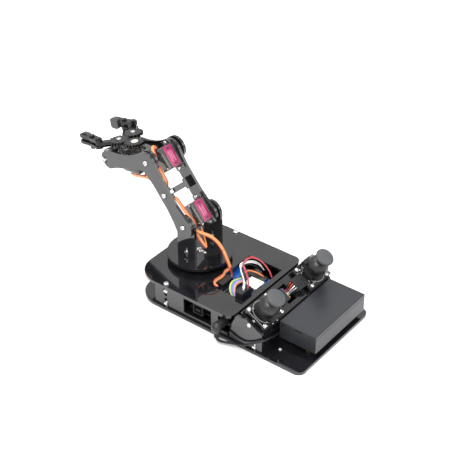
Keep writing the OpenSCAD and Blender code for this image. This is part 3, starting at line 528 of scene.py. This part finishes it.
def joystick_board(name):
    """Print, pins and small parts of the black board."""
    b = Build("joystick_board_detail_" + name, STICKS[name])
    z = BOARD_Z
    z0, z1 = z - 0.01, z + 0.04
    # printed ring round the gimbal, as far as the board reaches
    far_edge = 14.4 if name == "front" else 11.9
    for k in range(40):
        sector = (9 * k, 9 * k + 9.4)
        outer = arc(12.0, sector)
        if outer[0][1] > far_edge:
            continue
        inner = arc(11.6, sector)
        b.prism([inner[0], outer[0], outer[1], inner[1]], z0, z1, "silk")
    for x0, y0, x1, y1 in ((-12.2, 13.4, 12.2, 13.8), (-12.2, 8.6, -11.8, 13.6), (11.8, 8.6, 12.2, 13.6),
                           (-7.6, -17.9, 7.6, -17.6), (-7.6, -17.9, -7.3, -15.4), (7.3, -17.9, 7.6, -15.4)):
        b.box((x0, y0, z0), (x1, y1, z1), "silk", 0)
    for k in range(6):
        b.box((-7.4 + 2.6 * k, -14.9, z0), (-6.0 + 2.6 * k, -14.5, z1), "silk", 0)
        b.box((8.6, -12.6 + 1.1 * k, z0), (9.9, -12.2 + 1.1 * k, z1), "silk", 0)
    for x in PIN_X:
        b.box((x - 0.32, -18.4, z + 1.0), (x + 0.32, -15.2, z + 1.6), "gold", 0.08)
        b.cyl(0.75, z - 0.02, z + 0.35, "solder", tr(x, -15.9, 0), seg=14, bevel=0.1)
    for px, py in ((-8.1, -6.6), (-8.1, 6.6), (-13.1, -3.2), (-13.1, 3.2), (-5.2, -13.1), (5.2, -13.1),
                   (8.1, 7.2)):
        b.box((px - 0.9, py - 0.4, z0), (px + 0.9, py + 0.4, z + 0.9), "steel", 0.12)
    b.box((5.6, -13.4, z), (7.6, -12.2, z + 0.7), "chip", 0.1)
    b.box((-9.4, -12.6, z), (-7.9, -11.4, z + 0.6), "cream", 0.1)
    b.done("base")


# the five pins of a module's row, and of the wires that leave it
PIN_X = [-4.9 + 2.45 * i for i in range(5)]
for stick in STICKS:
    joystick_cap(stick)
    joystick_board(stick)


# ------------------------------------------------------------------ battery box and control board
def battery_seam():
    """The dark gap under the lid, dark lines of painted shade just inside the lid's rim where its rounded
    edge turns away, and the thumb catch at the open end.
    """
    b = Build("battery_detail")
    x0, x1, y0, y1 = -159.3, -119.3, -49, 32
    lid_top = 28
    b.box((x0 - 0.04, y0 - 0.04, 24.4), (x1 + 0.04, y1 + 0.04, 25.1), "chip", 0)
    # painted shade: dark lines 0.9 mm in from the lid's edges stand for the shading of its rounded edge
    for y in (y0 + 0.9, y1 - 1.1):
        b.box((x0 + 0.9, y, lid_top), (x1 - 0.9, y + 0.2, lid_top + 0.03), "chip", 0)
    for x in (x0 + 0.9, x1 - 1.1):
        b.box((x, y0 + 1.1, lid_top), (x + 0.2, y1 - 1.1, lid_top + 0.03), "chip", 0)
    catch_x0, catch_x1, catch_y = -144.3, -134.3, 28.6
    b.box((catch_x0, catch_y, lid_top), (catch_x1, catch_y + 0.3, lid_top + 0.04), "chip", 0)
    for x in (catch_x0, catch_x1 - 0.3):
        b.box((x, catch_y, lid_top), (x + 0.3, y1, lid_top + 0.04), "chip", 0)
    b.done("base")


battery_seam()


def pin_rows():
    """Header strips, pins, chips and a white card on the shield board; mouths of the plug housings."""
    b = Build("board_pins")
    pitch, strip_h = 2.54, 2.3
    z = 22.45  # top of the shield board
    pin_z = z + strip_h
    for x in (-72.4, -67.4):
        for k in range(7, 13):
            y = -2.5 + pitch * k
            b.box((x - 0.3, y - 0.3, pin_z), (x + 0.3, y + 0.3, z + 7.4), "gold", 0.05)
    for k in range(14):
        y = -10.3 + pitch * k
        b.box((-34.7, y - 0.3, pin_z), (-34.1, y + 0.3, z + 3.2), "gold", 0.05)
    b.box((-71.4, -9.6, z + 0.02), (-56.2, 4.4, z + 2.5), "card", 0.1)
    for x in [-66.4 + 3.9 * k for k in range(6)]:
        b.box((x, 6, z), (x + 2.4, 32, pin_z), "conn", 0.15)
    for x in (-53.6, -49.7):
        b.box((x, -12, z), (x + 2.4, 4.6, pin_z), "conn", 0.15)
    b.box((-70, -17.6, z), (-44, -11, pin_z), "conn", 0.15)
    for k in range(7):
        y = -14 + 5.2 * k
        b.box((-54.5, y, z), (-52.6, y + 1.2, z + 0.7), "cream" if k % 2 else "chip", 0.1)
        b.box((-50.4, y, z), (-48.9, y + 1.2, z + 0.7), "solder", 0.1)
    mouth_z = 35  # top of the plug housings
    for y0 in (15, 22.8):
        for x in (-73.1, -70.6, -68.1):
            for y in (y0, y0 + 3.1):
                b.box((x, y, mouth_z - 0.06), (x + 1.8, y + 1.9, mouth_z + 0.06), "chip", 0)
    b.done("base")


pin_rows()


# ------------------------------------------------------------------ leads and jumper wires
WIRE_R, THIN_R, LEAD_PITCH = 0.6, 0.62, 1.15


def wires(name, pts, colours, body=None, between=None, hint=(0, 0, 1), r=WIRE_R, at=HERE, fixed=False):
    """A flat lead of parallel wires along pts; left on no body, in world space, where between is given."""
    line = [at @ p for p in spline(pts, 5)]
    bm = bmesh.new()
    n = len(colours)
    me = bpy.data.meshes.new(name)
    count = 0
    for i, colour in enumerate(colours):
        off = (i - (n - 1) / 2) * LEAD_PITCH
        prof = [(off + x, y) for x, y in arc(r, range(0, 360, 36))]
        sweep(bm, line, prof, hint=at.to_3x3() @ Vector(hint), fixed=fixed)
        bm.faces.ensure_lookup_table()
        for f in bm.faces[count:]:
            f.material_index = i
            f.smooth = len(f.verts) == 4
        count = len(bm.faces)
        me.materials.append(M["w_" + colour])
    bm.to_mesh(me)
    bm.free()
    me.transform(Matrix.Scale(MM, 4))
    o = bpy.data.objects.new(name, me)
    scene.collection.objects.link(o)
    if between:
        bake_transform(o)
    else:
        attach(o, body)


# the middle strand of each lead is the pale orange of painted highlight
LEAD = ("orange", "orange_painted_highlight", "red")
# direction that the flat leads turn their broad side to
FRONT = Vector((-0.5, 0.6, 0.6))
# where the bundle of leads goes into the window of the deck
WINDOW = (-31.3, 0, 50.9)


def servo_leads():
    # elbow servo: along the inside of the front arm plate, under the brace, to the shoulder
    elbow = [(78.3, -0.5, 0), (80.4, 1.5, 1), (80.8, 5, 4), (77.5, 8.6, 6.4), (72, 9.9, 6.2), (66, 9.9, 4.2),
             (60, 9.9, 3), (52, 9.9, 2.6), (46, 9.9, 2), (42.4, 9.8, -1.4), (38.8, 9.8, -4.4),
             (32.6, 9.8, -4.4), (29.6, 9.6, -1.8), (27, 9.4, 1.6), (21, 9.4, 2.8), (14, 9.4, 3.6),
             (8, 9.2, 4.6), (2, 8, 5), (-3, 7.6, 3.6), (-5.4, 8.8, 0.3)]
    # the elbow lead also carries the pale orange strand of painted highlight
    wires("lead_elbow", elbow, ("red", "orange_painted_highlight", "orange"), "upper_arm", hint=ARM.to_3x3().inverted() @ FRONT,
          at=ARM, fixed=True)
    # shoulder servo: hangs in a fold and comes back up to the others
    shoulder = [(-1.3, -0.5, 65.7), (-2.6, -0.4, 62.8), (-5.2, 0.2, 58), (-9, 1.4, 52.2), (-11.6, 2.8, 48.8),
                (-12.3, 4.2, 48.9), (-10.4, 5.2, 51.6), (-7.2, 6.4, 56), (-3.8, 7.5, 61), (-1.1, 8.4, 65.2),
                (-0.6, 8.9, 67)]
    wires("lead_shoulder", shoulder, LEAD, "upper_arm", hint=(0.6, 1, 0), at=TURN)
    # the bundle drops from the shoulder to the window in the deck
    drop = [(-0.1, 9, 67.2), (-4.8, 8.5, 65.8), (-11.3, 7, 65.4), (-17.2, 5, 64.6), (-21.8, 3, 62),
            (-26.4, 1, 57.3), WINDOW]
    wires("lead_drop", drop, LEAD, between=("upper_arm", "turntable", (-1, 9, 67), (-15, 5, 65)),
          hint=TURN.to_3x3().inverted() @ FRONT, at=TURN)
    end = tuple(TURN @ Vector(WINDOW))
    window = [end, (-35, 2.6, 43.9), (-37.4, 2.4, 38.6), (-38.8, 2.6, 35.5), (-37.8, 3.6, 33), (-37, 7.4, 32),
              (-38.9, 12.2, 32.2), (-39.2, 17.3, 32.2), (-39, 21.8, 32.6), (-39.2, 25.8, 32.6),
              (-40.4, 28.3, 31.6), (-42, 28.2, 30.2), (-42.6, 26.4, 29.4)]
    wires("lead_window", window, LEAD, between=("turntable", "base", end, (-38, 2.5, 37)), hint=FRONT)
    window_low = [(-39.4, 2.5, 35.4), (-40.4, 2.2, 31.5), (-41.2, 2.4, 28), (-42.6, 4.6, 25.6), (-43, 8, 25)]
    wires("lead_window_low", window_low, ("red", "brown"), "base", hint=(1, 0, 0.2))
    # claw servo: a slack loop under the servo, then to the inside of the arm
    claw = [(73.7, -0.2, 97.9), (71.2, 0, 96.6), (70.6, 0.8, 94), (74, 1.6, 91.6), (81, 1.6, 89.4),
            (88.6, 1.2, 87.6), (91.6, 0.4, 86.2), (89.6, -0.2, 85.2), (84, 0.4, 87), (76, 1.6, 90),
            (67.2, 3.4, 93.2), (60, 5.6, 95.6), (52, 8.8, 98.6), (45, 11.6, 101.6), (38.6, 12.7, 103.6),
            (33, 12.8, 100.2), (28, 12.6, 94.6)]
    wires("lead_claw", claw, LEAD, between=("forearm", "upper_arm", (67, 3.4, 93.4), (42, 12, 102.6)),
          hint=(0.3, 0.2, 1), at=TURN)


def window_jumpers():
    top = 34.7  # where the jumpers leave their housings
    for i, (dx, dy) in enumerate([(0, 0), (0.9, -1.5)]):
        red = [(-72.2, 18.6, top), (-71.2, 16, 37.2), (-66.8, 11.4, 40), (-59.5, 5.6, 42.2), (-53.1, 0.4, 43),
               (-49.9, -8.8, 42), (-50.7, -17, 40), (-56.3, -20.8, 38 - i), (-63.3, -21.3, 34.5 - i),
               (-69.6, -20.4, 29.6 - i), (-73.2, -19, 25)]
        wires("jumper_red_%d" % i, [(x + dx, y + dy, z) for x, y, z in red], ("pink",), "base", r=0.66)
    for i, colour in enumerate(("white", "grey", "white")):
        dx = 1.4 * i
        white = [(-70.6 + dx, 23.2 - dx, top), (-69.4 + dx, 19.6 - dx, 37), (-64.5 + dx, 14.4 - dx, 39.6),
                 (-57 + dx, 8.4 - dx, 41.6), (-52.2 + dx, 2.4 - dx, 41.6), (-50.4 + dx * 0.6, -5 - dx, 40),
                 (-51.9, -14 - dx, 37), (-55.3, -20.7 - dx * 0.5, 32.6), (-58, -23.6, 28.4),
                 (-59.3, -25.2, 24.4)]
        wires("jumper_white_%d" % i, white, (colour,), "base", r=THIN_R)
    black = [(-71.5, 21, top), (-70.6, 18.6, 37), (-66.3, 13.4, 39.4), (-59.6, 8, 41.4), (-53.6, 2.6, 41.2),
             (-51.6, -4, 39.4), (-52.6, -12, 36), (-56, -18, 31), (-59, -21, 25.6)]
    wires("jumper_black", black, ("black",), "base", r=THIN_R)
    # coloured bundle that rises from the board and dives under the deck, from its outer to its inner wire
    colours = ("yellow", "green", "blue", "violet", "grey", "orange")
    outer = [(-50.4, 0.5, 25.4), (-53.2, 3.4, 29.2), (-53.4, 8.6, 31.4), (-52, 15.8, 32), (-53.8, 21.6, 31),
             (-57, 25.5, 28.6), (-60.7, 26.9, 25)]
    inner = [(-54.6, 2, 25), (-56.8, 4.6, 28), (-57.4, 8.7, 29.6), (-56.6, 13, 30.2), (-57.4, 17.6, 29.8),
             (-59.6, 21.6, 27.8), (-62.8, 24.4, 24.6)]
    for i, colour in enumerate(colours):
        k = i / (len(colours) - 1)
        middle = [tuple(a + (b - a) * k for a, b in zip(p, q)) for p, q in zip(outer, inner)]
        wires("jumper_%s" % colour, middle, (colour,), "base", r=THIN_R)
    for i, colour in enumerate(("orange", "brown")):
        low = [(-49, -3, 26), (-50.4, -5.4, 29.6), (-53.4, -8.6, 31), (-58, -11.8, 29.8), (-62.6, -14.6, 27),
               (-65.5, -16.5, 24.2)]
        wires("jumper_orange_%d" % (i + 2), [(x, y - i, z) for x, y, z in low], (colour,), "base", r=THIN_R)


def console_wires():
    """The wires from each joystick's pins, over the board's edge and into the console."""
    rows = {"front": (("orange", "yellow", "green", "blue", "violet"), -35.7),
            "rear": (("brown", "red", "white", "grey", "black"), -40.7)}
    for name, (colours, end_y) in rows.items():
        for i, (x, colour) in enumerate(zip(PIN_X, colours)):
            bend = [(x, -31.4, 6.2), (x, -32.6, 6.1), (x * 0.9, -33.9, 4.8), (x * 0.75, -34.5, 2),
                    (x * 0.6, -34.8, -3.5), (x * 0.5, end_y, -9)]
            wires("stick_wire_%s_%d" % (name, i), bend, (colour,), "base", r=THIN_R, at=STICKS[name])


servo_leads()
window_jumpers()
console_wires()


# ------------------------------------------------------------------ stage and light
def stage():
    me = bpy.data.meshes.new("floor")
    s = 6
    me.from_pydata([(-s, -s, 0), (s, -s, 0), (s, s, 0), (-s, s, 0)], [], [(0, 1, 2, 3)])
    o = bpy.data.objects.new("floor", me)
    o.location = (0, 0, -0.0002)
    m = bpy.data.materials.new("floor_white")
    bs = nodes_of(m)[1]
    bs.inputs["Base Color"].default_value = (0.93, 0.93, 0.93, 1)
    bs.inputs["Roughness"].default_value = 0.7
    bs.inputs["Specular IOR Level"].default_value = 0.2
    me.materials.append(m)
    scene.collection.objects.link(o)
    w = bpy.data.worlds.new("world")
    scene.world = w
    w.use_nodes = True
    bg = w.node_tree.nodes["Background"]
    bg.inputs[0].default_value = (1.0, 1.0, 1.0, 1)
    bg.inputs[1].default_value = 0.95
    for nm, loc, size, power, tgt in [
        ("key", (-0.4, 1.2, 1.9), 1.1, 30, (0, 0, 0.03)),
        ("fill", (-1.5, -0.6, 1.1), 1.2, 10, (0, 0, 0.05)),
        ("top", (0.3, -0.3, 2.0), 1.6, 26, (0, 0, 0)),
    ]:
        d = bpy.data.lights.new(nm, "AREA")
        d.shape = "SQUARE"
        d.size = size
        d.energy = power
        lo = bpy.data.objects.new(nm, d)
        lo.location = loc
        dirv = Vector(tgt) - Vector(loc)
        lo.rotation_euler = dirv.to_track_quat("-Z", "Y").to_euler()
        scene.collection.objects.link(lo)
    scene.view_settings.view_transform = "Standard"


stage()
